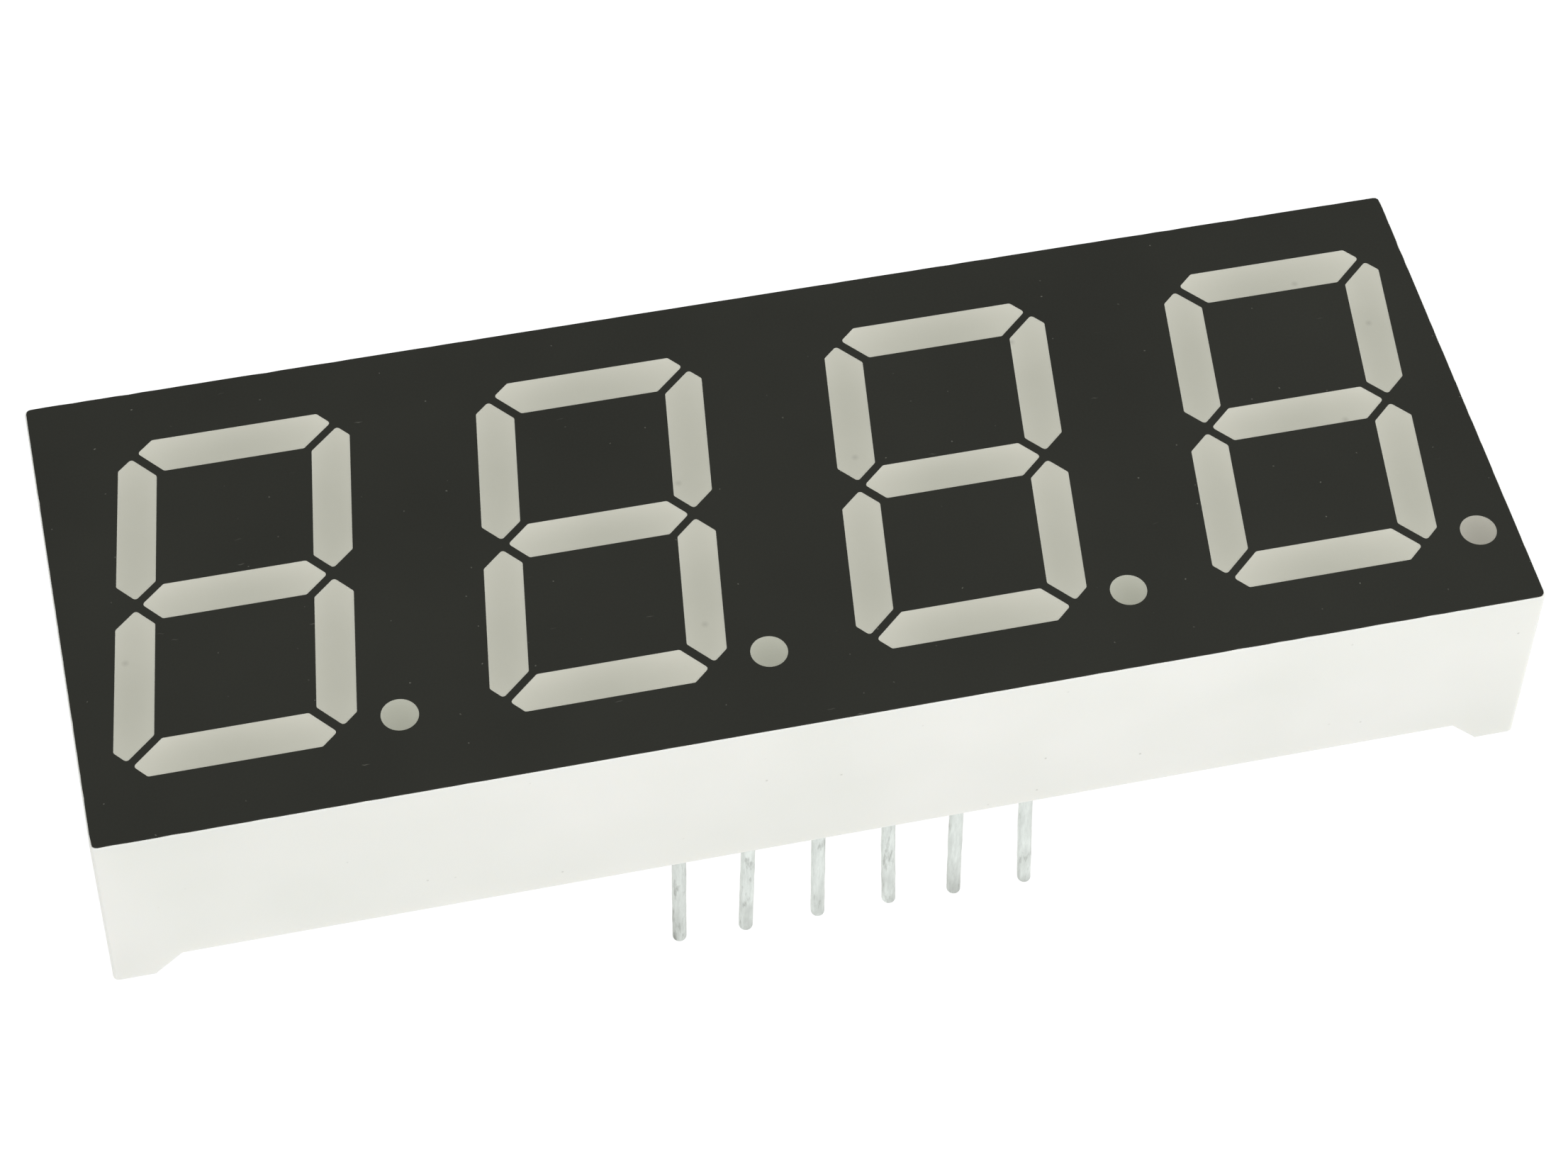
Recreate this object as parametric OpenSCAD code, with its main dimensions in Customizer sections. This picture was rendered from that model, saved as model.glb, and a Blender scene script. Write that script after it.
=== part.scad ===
/* [Body] */
// Number of digits in the row
digit_count = 4; // [2:1:4]
// Distance from one digit to the next
digit_pitch = 12.7; // [12:0.1:14]
// How much shorter the face is than its digit pitches, so that modules can stand end to end
stacking_gap = 0.5; // [0.2:0.05:1]
// Width of the face across the row of digits
body_w = 19; // [18.6:0.1:22]
// Height of the body from the soles of its feet to its face
body_h = 8; // [7:0.1:10]
// How far each outer wall flares out from the face to the feet, for the mould
wall_flare = 0.1; // [0.02:0.02:0.3]
// Radius of the body's upright corners
corner_r = 0.2; // [0.1:0.05:0.5]
// Thickness of the walls around the back, measured at the face
wall_t = 0.9; // [0.7:0.05:1.1]
// Height of the feet below the walls
foot_h = 1; // [0.6:0.1:1.5]
// Length of a foot's sole along each wall
foot_l = 1.45; // [1.2:0.05:2.5]

/* [Digits] */
// Height of a digit, over its outer edges
digit_h = 14.2; // [13:0.1:14.8]
// Width of a digit before it is slanted, over its outer edges
digit_w = 8.18; // [7.5:0.02:8.6]
// Slant of the digits, in degrees
slant = 8; // [0:1:10]
// Width of the upright bars
upright_w = 1.36; // [1.2:0.02:1.6]
// Width of the level bars
level_w = 1.45; // [1.2:0.05:1.7]
// Gap between two bars, across their mitre
bar_gap = 0.31; // [0.2:0.01:0.5]
// How far the mitred corner of a digit is cut back along each edge
corner_cut = 1.17; // [0.9:0.01:1.3]
// Radius at the tips of the bars
bar_tip_r = 0.12; // [0.05:0.01:0.2]
// Diameter of the decimal point
point_d = 1.29; // [1.2:0.01:1.5]
// Place of the decimal point to the right of its digit's centre
point_x = 4.64; // [4.5:0.02:5]
// Place of the decimal point below its digit's centre
point_drop = 6.35; // [6:0.05:6.6]
// How far the row of digits sits to the right of the body's centre
row_shift_x = 0.05; // [0:0.01:0.2]
// How far the row of digits sits above the body's centre
row_shift_y = 0.09; // [0:0.01:0.2]

/* [Face print] */
// Thickness of the black ink
ink_t = 0.05; // [0.03:0.01:0.1]
// Bare rim of the face around the ink
ink_rim = 0.05; // [0.02:0.01:0.2]

/* [Light wells] */
// Depth of the straight land at the mouth of a well
well_land = 0.8; // [0.4:0.1:1.5]
// Length of a bar's well at its floor
well_floor_l = 2.2; // [1.6:0.1:3]
// Room between the pads and the walls at a well's floor
well_room = 0.07; // [0.04:0.01:0.12]
// Wall left around the wells by the pockets in the back of the reflector
core_wall = 0.9; // [0.7:0.05:1.1]
// Thickness left between those pockets and the face
core_roof = 1.2; // [1:0.1:1.6]

/* [Circuit board] */
// Thickness of the board
board_t = 1; // [0.8:0.1:1.6]
// Room between the board's edge and the walls
board_room = 0.2; // [0.1:0.05:0.4]
// Thickness of the copper
copper_t = 0.035; // [0.03:0.005:0.07]
// Thickness of the potting below the board
pot_t = 0.6; // [0.55:0.05:1]
// How far the potting lies inside the lower edge of the walls
pot_recess = 0.4; // [0.2:0.05:0.6]

/* [Light sources] */
// Side of a light-emitting die
die_side = 0.28; // [0.2:0.01:0.34]
// Height of a die
die_h = 0.22; // [0.15:0.01:0.3]
// Side of the copper pad under a die
die_pad = 0.4; // [0.36:0.02:0.44]
// Length of the copper pad that a bond wire comes down on
bond_pad = 0.3; // [0.24:0.02:0.36]
// Distance from the die to the end of its bond wire
bond_span = 0.48; // [0.46:0.01:0.6]
// Rise of the bond wire above the die
bond_rise = 0.3; // [0.15:0.05:0.5]
// Thickness of the bond wire
bond_t = 0.03; // [0.02:0.005:0.05]

/* [Pins] */
// Pins in each of the two rows
pins_per_row = 6; // [3:1:7]
// Distance from one pin to the next
pin_pitch = 2.54; // [2:0.01:2.6]
// Distance from each row to the long edge of the face beside it
pin_edge = 1.88; // [1.8:0.01:2.6]
// How far the pins sit to the right of the body's centre
pin_shift = 1.27; // [0:0.01:2.54]
// Diameter of a pin
pin_d = 0.5; // [0.4:0.01:0.6]
// Length of a pin below the feet
pin_l = 7; // [3:0.1:12]
// Height of the rounding at a pin's tip
pin_tip = 0.16; // [0.1:0.02:0.2]
// Width across the squared shank that is pressed through the board
shank_w = 0.44; // [0.36:0.01:0.5]
// Room between the shank's edges and its hole in the board
hole_room = 0.04; // [0.02:0.01:0.1]
// Width of the copper ring around a pin's hole
ring_w = 0.3; // [0.2:0.02:0.36]
// Height of the solder below the ring
solder_h = 0.42; // [0.3:0.02:0.48]
// Height of the resin that creeps down each pin
creep_h = 0.4; // [0.2:0.05:0.6]
// Width of that resin where it leaves the potting
creep_w = 0.4; // [0.2:0.05:0.5]

/* [Hidden] */
DIGITS = [1:digit_count];
BARS = ["a", "b", "c", "d", "e", "f", "g"];
LIGHTS = concat(BARS, ["point"]);
PINS = [1:2 * pins_per_row];

// Steps in a rounded corner, and in a round part
corner_steps = 3;
$fn = 48;
// How far a cut reaches past the surface that it opens
cut_past = 1;

// Body, around the middle of the pins
body_x = -pin_shift;
face_l = digit_count * digit_pitch - stacking_gap;
cavity_l = face_l - 2 * wall_t;
cavity_w = body_w - 2 * wall_t;
row_spacing = body_w - 2 * pin_edge;

// Levels, from the soles of the feet at zero
face_z = body_h;
ink_z = face_z - ink_t;
pot_z = foot_h + pot_recess;
board_z = pot_z + pot_t;
seat_z = board_z + board_t;
land_z = ink_z - well_land;
shank_z = pot_z - creep_h;
ring_z = board_z - copper_t;
pad_z = seat_z + copper_t;
die_z = pad_z + die_h;

// Centre lines of a digit's bars, and its edges
bar_x = (digit_w - upright_w) / 2;
bar_y = (digit_h - level_w) / 2;
outer_x = digit_w / 2;
outer_y = digit_h / 2;
inner_x = outer_x - upright_w;
inner_y = outer_y - level_w;
// Half of the gap, measured along a bar instead of across the mitre
gap_step = bar_gap / sqrt(2);

// Floor of a well, which clears the pads
floor_r = norm([(bond_span + die_pad) / 2, die_pad / 2]) + well_room;

// Round a pin: its shank's reach, its hole, its copper ring and its solder
shank_r = max(shank_w / sqrt(2), pin_d / 2);
hole_r = shank_r + hole_room;
ring_r = hole_r + ring_w;
solder_r = ring_r - hole_room;
creep_r = shank_r + hole_room;

function segment_name(d, s) = str("digit_", d, s == "point" ? "_point" : str("_segment_", s));
function dies_name(d) = str("digit_", d, "_led_dies");
function wires_name(d) = str("digit_", d, "_bond_wires");
function pin_name(i) = str(i < 10 ? "pin_0" : "pin_", i);

// Outlines

function backwards(list) = [for (i = [len(list) - 1:-1:0]) list[i]];

// The outline with each of its corners rounded, for points that run counterclockwise
function rounded(outline, r) = [
    for (i = [0:len(outline) - 1])
        let (
            corner = outline[i],
            back = outline[(i + len(outline) - 1) % len(outline)] - corner,
            ahead = outline[(i + 1) % len(outline)] - corner,
            u = back / norm(back),
            v = ahead / norm(ahead),
            half = acos(u * v) / 2,
            middle = (u + v) / norm(u + v),
            centre = corner + middle * r / sin(half),
            toward = atan2(-middle.y, -middle.x),
            sweep = 90 - half
        )
        for (k = [0:corner_steps])
            let (a = toward - sweep + 2 * sweep * k / corner_steps)
            centre + r * [cos(a), sin(a)]
];

function rectangle(l, w) = [[-l / 2, -w / 2], [l / 2, -w / 2], [l / 2, w / 2], [-l / 2, w / 2]];

// The same outline mirrored in either direction, still counterclockwise
function mirrored(outline, sx, sy) =
    let (moved = [for (p = outline) [sx * p.x, sy * p.y]])
    sx * sy > 0 ? moved : backwards(moved);

function slanted(outline) = [for (p = outline) [p.x + p.y * tan(slant), p.y]];

// Bars of an upright digit around its centre. The mitres run at 45 degrees through the
// points where two centre lines meet, and one 45 degree line cuts back each outer corner.

corner_sum = outer_x + outer_y - corner_cut;
mitre = bar_y - bar_x;

function top_bar() =
    let (tip_y = (corner_sum + mitre + gap_step) / 2)
    let (right = [
        [inner_y - mitre - gap_step, inner_y],
        [corner_sum - tip_y, tip_y],
        [corner_sum - outer_y, outer_y]
    ])
    concat(right, mirrored(right, -1, 1));

function right_bar() =
    let (tip_y = (corner_sum + mitre - gap_step) / 2)
    let (heel_y = upright_w / 2 + gap_step)
    [
        [bar_x, gap_step],
        [outer_x, heel_y],
        [outer_x, corner_sum - outer_x],
        [corner_sum - tip_y, tip_y],
        [inner_x, inner_x + mitre - gap_step],
        [inner_x, heel_y]
    ];

function middle_bar() =
    let (tip_x = bar_x - gap_step)
    let (right = [[tip_x - level_w / 2, -level_w / 2], [tip_x, 0], [tip_x - level_w / 2, level_w / 2]])
    concat(right, mirrored(right, -1, 1));

function bar(s) =
    s == "a" ? top_bar()
    : s == "b" ? right_bar()
    : s == "c" ? mirrored(right_bar(), 1, -1)
    : s == "d" ? mirrored(top_bar(), 1, -1)
    : s == "e" ? mirrored(right_bar(), -1, -1)
    : s == "f" ? mirrored(right_bar(), -1, 1)
    : middle_bar();

function is_level(s) = s == "a" || s == "d" || s == "g" || s == "point";

function bar_centre(s) =
    s == "a" ? [0, bar_y]
    : s == "b" ? [bar_x, bar_y / 2]
    : s == "c" ? [bar_x, -bar_y / 2]
    : s == "d" ? [0, -bar_y]
    : s == "e" ? [-bar_x, -bar_y / 2]
    : s == "f" ? [-bar_x, bar_y / 2]
    : [0, 0];

// The bar drawn in to the floor of its well, around its own centre
function bar_floor(s) =
    let (
        centre = bar_centre(s),
        along = well_floor_l / (is_level(s) ? 2 * bar_x : bar_y),
        across = 2 * floor_r / (is_level(s) ? level_w : upright_w),
        shrink = is_level(s) ? [along, across] : [across, along]
    )
    [for (p = bar(s)) [centre.x + (p.x - centre.x) * shrink.x, centre.y + (p.y - centre.y) * shrink.y]];

function face_outline(s) = rounded(slanted(bar(s)), bar_tip_r);
function floor_outline(s) = rounded(slanted(bar_floor(s)), bar_tip_r);

// Places

module at_digit(d) {
    x = body_x + row_shift_x + (d - (digit_count + 1) / 2) * digit_pitch;
    translate([x, row_shift_y, 0])
        children();
}

// The middle of a well's floor, with +X along its bar
module at_light(d, s) {
    place = s == "point" ? [point_x, -point_drop] : slanted([bar_centre(s)])[0];
    at_digit(d)
        translate(place)
            rotate(is_level(s) ? 0 : 90 - slant)
                children();
}

// Pins count along the front row from its left end, and back along the rear row
module at_pin(i) {
    front = i <= pins_per_row;
    column = front ? i : 2 * pins_per_row + 1 - i;
    x = (column - (pins_per_row + 1) / 2) * pin_pitch;
    translate([x, (front ? -1 : 1) * row_spacing / 2, 0])
        children();
}

// Solid forms

// Skin through a stack of outlines that have equally many points
module loft(outlines, heights) {
    n = len(outlines[0]);
    top = len(outlines) - 1;
    points = [for (k = [0:top]) for (p = outlines[k]) [p.x, p.y, heights[k]]];
    sides = [
        for (k = [0:top - 1])
            for (i = [0:n - 1])
                let (j = (i + 1) % n, low = k * n, high = low + n)
                each [[low + i, high + i, low + j], [low + j, high + i, high + j]]
    ];
    floor_face = [for (i = [0:n - 1]) i];
    roof_face = [for (i = [n - 1:-1:0]) top * n + i];
    polyhedron(points, concat([floor_face, roof_face], sides));
}

// A box on the body's centre line
module body_block(l, w, low, high) {
    translate([body_x - l / 2, -w / 2, low])
        cube([l, w, high - low]);
}

// A light well: a straight land at the face, then a funnel down to the floor
module well(d, s) {
    if (s == "point")
        at_light(d, s)
            rotate_extrude()
                polygon([
                    [0, seat_z],
                    [floor_r, seat_z],
                    [point_d / 2, land_z],
                    [point_d / 2, face_z],
                    [0, face_z]
                ]);
    else
        at_digit(d)
            loft([floor_outline(s), face_outline(s), face_outline(s)], [seat_z, land_z, face_z]);
}

// Pockets that keep the reflector's walls even: two inside a digit, and one before the next digit
module core_pockets(d) {
    inside_w = 2 * (inner_x - core_wall);
    low = level_w / 2 + core_wall;
    high = inner_y - core_wall;
    between_l = digit_pitch - digit_w - 2 * core_wall;
    between_low = -point_drop + point_d / 2 + core_wall;
    at_digit(d)
        translate([0, 0, seat_z - cut_past])
            linear_extrude(ink_z - core_roof - seat_z + cut_past) {
                for (side = [-1, 1])
                    polygon(slanted([
                        for (p = rectangle(inside_w, high - low))
                            [p.x, p.y + side * (high + low) / 2]
                    ]));
                if (d < digit_count)
                    polygon(slanted([
                        for (p = rectangle(between_l, outer_y - between_low))
                            [p.x + digit_pitch / 2, p.y + (outer_y + between_low) / 2]
                    ]));
            }
}

// The gap below a pair of facing walls, with a 45 degree haunch at each foot
module foot_gap(span, through) {
    rotate([90, 0, 0])
        linear_extrude(through, center = true)
            polygon([
                [-span / 2 - cut_past, -cut_past],
                [span / 2 + cut_past, -cut_past],
                [span / 2 - foot_h, foot_h],
                [-span / 2 + foot_h, foot_h]
            ]);
}

module copper_pair() {
    translate([-bond_span / 2 - die_pad / 2, -die_pad / 2, seat_z])
        cube([die_pad, die_pad, copper_t]);
    translate([bond_span / 2 - bond_pad / 2, -die_pad / 2, seat_z])
        cube([bond_pad, die_pad, copper_t]);
}

module die() {
    translate([-bond_span / 2 - die_side / 2, -die_side / 2, pad_z])
        cube([die_side, die_side, die_h]);
}

// A bond wire rises off the die in an arch and comes down on its pad
function wire_point(t) = [(t - 0.5) * bond_span, die_z - die_h * t + 4 * bond_rise * t * (1 - t)];
function wire_normal(t) =
    let (run = [bond_span, -die_h + 4 * bond_rise * (1 - 2 * t)])
    [-run.y, run.x] / norm(run);

module bond_wire() {
    steps = [0:0.1:1];
    outer = [for (t = steps) wire_point(t) + wire_normal(t) * bond_t / 2];
    inner = [for (t = steps) wire_point(t) - wire_normal(t) * bond_t / 2];
    difference() {
        rotate([90, 0, 0])
            linear_extrude(bond_t, center = true)
                polygon(concat(inner, backwards(outer)));
        die();
        copper_pair();
    }
}

module pin_shank() {
    translate([-shank_w / 2, -shank_w / 2, shank_z])
        cube([shank_w, shank_w, seat_z - shank_z]);
}

// Solder that fills a pin's hole and stands in a cone below its ring
module solder_slug() {
    rotate_extrude()
        polygon([
            [0, seat_z],
            [0, ring_z - solder_h],
            [hole_r + hole_room, ring_z - solder_h],
            [solder_r, ring_z],
            [hole_r, ring_z],
            [hole_r, seat_z]
        ]);
}

module ring_disc() {
    translate([0, 0, ring_z])
        cylinder(h = copper_t, r = ring_r);
}

// Sub-parts

module reflector_housing() {
    color([0.93, 0.93, 0.90])
        difference() {
            translate([body_x, 0, 0])
                loft(
                    [
                        rounded(rectangle(face_l + 2 * wall_flare, body_w + 2 * wall_flare), corner_r),
                        rounded(rectangle(face_l, body_w), corner_r)
                    ],
                    [0, ink_z]
                );
            body_block(cavity_l, cavity_w, -cut_past, seat_z);
            translate([body_x, 0, 0]) {
                foot_gap(face_l + 2 * wall_flare - 2 * foot_l, body_w + 2 * cut_past);
                rotate(90)
                    foot_gap(body_w + 2 * wall_flare - 2 * foot_l, face_l + 2 * cut_past);
            }
            for (d = DIGITS) {
                core_pockets(d);
                for (s = LIGHTS)
                    well(d, s);
            }
        }
}

module face_print() {
    color([0.20, 0.20, 0.18])
        translate([0, 0, ink_z])
            linear_extrude(ink_t)
                difference() {
                    translate([body_x, 0])
                        polygon(rounded(rectangle(face_l - 2 * ink_rim, body_w - 2 * ink_rim), corner_r));
                    for (d = DIGITS) {
                        at_digit(d)
                            for (s = BARS)
                                polygon(face_outline(s));
                        at_light(d, "point")
                            circle(d = point_d);
                    }
                }
}

// The resin in one light well, cast around the die and its wire
module segment_resin(d, s) {
    color([0.74, 0.74, 0.69])
        difference() {
            well(d, s);
            at_light(d, s) {
                copper_pair();
                die();
                bond_wire();
            }
        }
}

module circuit_board() {
    color([0.80, 0.72, 0.46])
        difference() {
            body_block(cavity_l - 2 * board_room, cavity_w - 2 * board_room, board_z, seat_z);
            for (i = PINS)
                at_pin(i)
                    translate([0, 0, board_z - cut_past])
                        cylinder(h = board_t + 2 * cut_past, r = hole_r);
        }
}

module copper_pads() {
    color([0.80, 0.52, 0.28]) {
        for (d = DIGITS)
            for (s = LIGHTS)
                at_light(d, s)
                    copper_pair();
        for (i = PINS)
            at_pin(i)
                difference() {
                    ring_disc();
                    translate([0, 0, ring_z - cut_past])
                        cylinder(h = copper_t + 2 * cut_past, r = hole_r);
                }
    }
}

module led_dies(d) {
    color([0.85, 0.45, 0.30])
        for (s = LIGHTS)
            at_light(d, s)
                die();
}

module bond_wires(d) {
    color([0.90, 0.72, 0.30])
        for (s = LIGHTS)
            at_light(d, s)
                bond_wire();
}

module solder_joints() {
    color([0.72, 0.73, 0.74])
        for (i = PINS)
            at_pin(i)
                difference() {
                    solder_slug();
                    pin_shank();
                }
}

// Resin behind the board: round its edges, over its solder and a little way down each pin
module back_potting() {
    color([0.86, 0.85, 0.78])
        difference() {
            union() {
                body_block(cavity_l, cavity_w, pot_z, seat_z);
                for (i = PINS)
                    at_pin(i)
                        translate([0, 0, shank_z])
                            cylinder(h = creep_h + pot_t / 2, r1 = creep_r, r2 = creep_r + creep_w);
            }
            body_block(cavity_l - 2 * board_room, cavity_w - 2 * board_room, board_z, seat_z + cut_past);
            for (i = PINS)
                at_pin(i) {
                    ring_disc();
                    solder_slug();
                    pin_shank();
                }
        }
}

// A round wire pin: squared where it is pressed through the board, rounded at its tip
module pin(i) {
    r = pin_d / 2;
    tip = [for (a = [0:15:90]) [r * sin(a), pin_tip * (1 - cos(a)) - pin_l]];
    color([0.76, 0.76, 0.76])
        at_pin(i) {
            rotate_extrude()
                polygon(concat(tip, [[r, shank_z], [0, shank_z]]));
            pin_shank();
        }
}

reflector_housing();
face_print();
circuit_board();
copper_pads();
solder_joints();
back_potting();
for (d = DIGITS) {
    for (s = LIGHTS)
        segment_resin(d, s);
    led_dies(d);
    bond_wires(d);
}
for (i = PINS)
    pin(i);
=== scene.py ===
# %% [markdown]
# # A four digit seven segment display
# The real part is a white moulded reflector with a black printed face. Milky resin fills a light well
# for every bar and point, and twelve tinned wires leave its back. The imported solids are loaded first
# and never moved: each piece below is shaped around them, in metres, in the same frame.

# %% Load the solids
import math

import bmesh
import bpy
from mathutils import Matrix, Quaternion, Vector, noise


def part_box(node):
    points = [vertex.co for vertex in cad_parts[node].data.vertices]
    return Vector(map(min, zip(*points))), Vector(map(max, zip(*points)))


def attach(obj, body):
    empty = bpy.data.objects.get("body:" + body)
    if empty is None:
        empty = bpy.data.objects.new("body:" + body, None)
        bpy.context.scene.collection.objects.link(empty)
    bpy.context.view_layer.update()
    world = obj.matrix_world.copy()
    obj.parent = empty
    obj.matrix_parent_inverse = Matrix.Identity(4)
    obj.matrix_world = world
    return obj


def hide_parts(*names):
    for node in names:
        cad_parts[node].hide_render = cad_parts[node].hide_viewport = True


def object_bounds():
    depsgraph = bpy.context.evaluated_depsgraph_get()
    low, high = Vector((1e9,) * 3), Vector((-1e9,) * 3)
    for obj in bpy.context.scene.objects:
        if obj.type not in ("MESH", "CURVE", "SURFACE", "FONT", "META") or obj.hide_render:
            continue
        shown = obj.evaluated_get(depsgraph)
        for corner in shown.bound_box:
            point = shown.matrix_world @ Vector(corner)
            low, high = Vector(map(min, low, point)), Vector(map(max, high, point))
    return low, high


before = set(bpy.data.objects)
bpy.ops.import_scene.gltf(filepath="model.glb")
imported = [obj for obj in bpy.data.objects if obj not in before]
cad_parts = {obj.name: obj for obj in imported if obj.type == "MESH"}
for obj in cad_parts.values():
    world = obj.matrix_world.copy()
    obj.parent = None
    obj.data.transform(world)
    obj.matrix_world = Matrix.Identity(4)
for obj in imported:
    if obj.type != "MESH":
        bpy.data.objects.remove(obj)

MM = 0.001
cad_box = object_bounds()


def in_mm(point):
    """A point's coordinates in millimetres, short enough to print."""
    return [round(v / MM, 2) for v in point]


print("solids", len(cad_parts), "box in mm", [in_mm(corner) for corner in cad_box])

# %% [markdown]
# ## Camera
# The photograph was taken from the front and above, with a long lens. A camera can be placed by eye,
# but here the bars, the corners of the face and the feet were matched to the picture, which gives the
# distance, the three angles and the focal length. The focal length is kept in the picture's own pixels.

# %% Place the camera
PICTURE_W = 2212
FOCAL_PIXELS = 5758.9
SENSOR_W = 36.0
AIM = Vector((-1.839, -3.733, 8.0)) * MM
DISTANCE = 140.44 * MM
AZIMUTH = math.radians(14.470)
ELEVATION = math.radians(53.114)
ROLL = math.radians(2.073)
NEAREST = 10 * MM

bpy.ops.object.select_all(action="DESELECT")
bpy.ops.object.camera_add()
camera = bpy.context.object
camera.name = "photo_camera"
sight = Vector((
    math.sin(AZIMUTH) * math.cos(ELEVATION),
    math.cos(AZIMUTH) * math.cos(ELEVATION),
    -math.sin(ELEVATION),
))
camera.location = AIM - sight * DISTANCE
camera.rotation_mode = "QUATERNION"
camera.rotation_quaternion = sight.to_track_quat("-Z", "Y") @ Quaternion((0, 0, 1), ROLL)
camera.data.sensor_width = SENSOR_W
camera.data.lens = FOCAL_PIXELS / PICTURE_W * SENSOR_W
camera.data.clip_start = NEAREST
bpy.context.scene.camera = camera
print("lens", round(camera.data.lens, 1), "mm, camera in mm at", in_mm(camera.location))

# %% [markdown]
# ## Colours and nodes
# Colours are picked as they look on a screen, as sRGB hex values, while a shader works in linear light,
# so one function turns the first into the second. Another adds a node with its settings and its links,
# which keeps every material below to about one line for each node. Most finishes end alike, with one
# pattern that makes the surface duller here and glossier there and lifts it a little, so they share that.

# %% Helpers for materials
# A Mix node has sockets for every kind of value: these are its two colours and the mixed one
FIRST, SECOND, MIXED = 6, 7, 2


def linear(code):
    """A hex colour as the linear colour that a shader socket takes."""
    levels = [int(code[i:i + 2], 16) / 255 for i in (1, 3, 5)]
    return (*[v / 12.92 if v <= 0.04045 else ((v + 0.055) / 1.055) ** 2.4 for v in levels], 1.0)


def per_mm(size):
    """The texture scale at which a pattern's features are this many millimetres apart."""
    return 1 / (size * MM)


def start_material(name, sockets):
    """A material with one shader, whose plain values sit on the shader's own sockets."""
    made = bpy.data.materials.new(name)
    made.use_nodes = True
    shader = made.node_tree.nodes["Principled BSDF"]
    for key, value in sockets.items():
        shader.inputs[key].default_value = value
    return made, made.node_tree, shader


def add(tree, kind, settings=None, links=None):
    """Adds a node, sets its properties and sockets by name or number, and links its inputs."""
    node = tree.nodes.new("ShaderNode" + kind)
    for key, value in (settings or {}).items():
        if isinstance(key, str) and hasattr(node, key):
            setattr(node, key, value)
        else:
            node.inputs[key].default_value = value
    for key, source in (links or {}).items():
        tree.links.new(source, node.inputs[key])
    return node


def lay_skin(tree, shader, pattern, rough, strength, depth):
    """Lets a pattern drive the roughness, within its range, and a relief of so many millimetres."""
    gloss = add(tree, "MapRange", {"To Min": rough[0], "To Max": rough[1]}, {"Value": pattern})
    tree.links.new(gloss.outputs[0], shader.inputs["Roughness"])
    relief = add(tree, "Bump", {"Strength": strength, "Distance": depth * MM}, {"Height": pattern})
    tree.links.new(relief.outputs["Normal"], shader.inputs["Normal"])


print("a mid grey is", [round(v, 3) for v in linear("#808080")])

# %% [markdown]
# ## Floor and light
# The picture is high key: white under and behind the part, with light from all round, so that the floor
# burns out and no shadow is left. More lamps would only move the shadow, so the floor itself glows, as a
# light table does, and two softboxes, a large one in front and a weak one at the right, keep some shape.
# The glow is only on the floor's upper side: from below it is clear, so the back can be looked at.

# %% Lay the floor
FLOOR_SIDE = 8.0
# The sheet is grey and glows just enough that, with what it throws back, it burns out
FLOOR_GREY = "#6C6D6D"
FLOOR_GLOW = 0.95

bpy.ops.object.select_all(action="DESELECT")
bpy.ops.mesh.primitive_plane_add(size=FLOOR_SIDE, location=(0, 0, cad_box[0].z))
floor = bpy.context.object
floor.name = "studio_floor"
sweep, tree, shader = start_material("opal acrylic sheet, lit from within", {
    "Base Color": linear(FLOOR_GREY),
    "Emission Color": linear("#FFFFFF"),
    "Emission Strength": FLOOR_GLOW,
    "Roughness": 0.9,
    "Specular IOR Level": 0.0,
})
side = add(tree, "NewGeometry")
clear = add(tree, "BsdfTransparent")
one_way = add(tree, "MixShader", None, {
    0: side.outputs["Backfacing"],
    1: shader.outputs["BSDF"],
    2: clear.outputs["BSDF"],
})
tree.links.new(one_way.outputs[0], tree.nodes["Material Output"].inputs["Surface"])
floor.data.materials.append(sweep)
print("floor at", round(floor.location.z / MM, 2), "mm")

# %% Hang the lights
SKY = 0.5
# For each softbox: its place and its width in metres, and its watts
LIGHTS = {
    "front_softbox": ((0.04, -0.20, 0.54), 0.40, 1.75),
    "right_softbox": ((0.42, -0.10, 0.30), 0.30, 0.60),
}

studio = bpy.data.worlds.new("studio")
studio.use_nodes = True
studio.node_tree.nodes["Background"].inputs["Color"].default_value = linear("#FFFFFF")
studio.node_tree.nodes["Background"].inputs["Strength"].default_value = SKY
bpy.context.scene.world = studio
bpy.context.scene.view_settings.view_transform = "Standard"
for name, (place, width, watts) in LIGHTS.items():
    bpy.ops.object.light_add(type="AREA", location=place)
    lamp = bpy.context.object
    lamp.name = name
    lamp.rotation_euler = (AIM - Vector(place)).to_track_quat("-Z", "Y").to_euler()
    lamp.data.size = width
    lamp.data.energy = watts
    print(name, watts, "W")

# %% [markdown]
# ## White housing plastic
# The reflector is moulded in a white filled polycarbonate, because the wells have to throw light forward.
# Such plastic is a touch translucent and slightly grey-green, with a fine satin skin from the mould.
# A plain white would look like paper, so the tone drifts softly, a few dark specks of burnt material
# sit in it, and light soaks a fraction of a millimetre into its edges.

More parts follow.
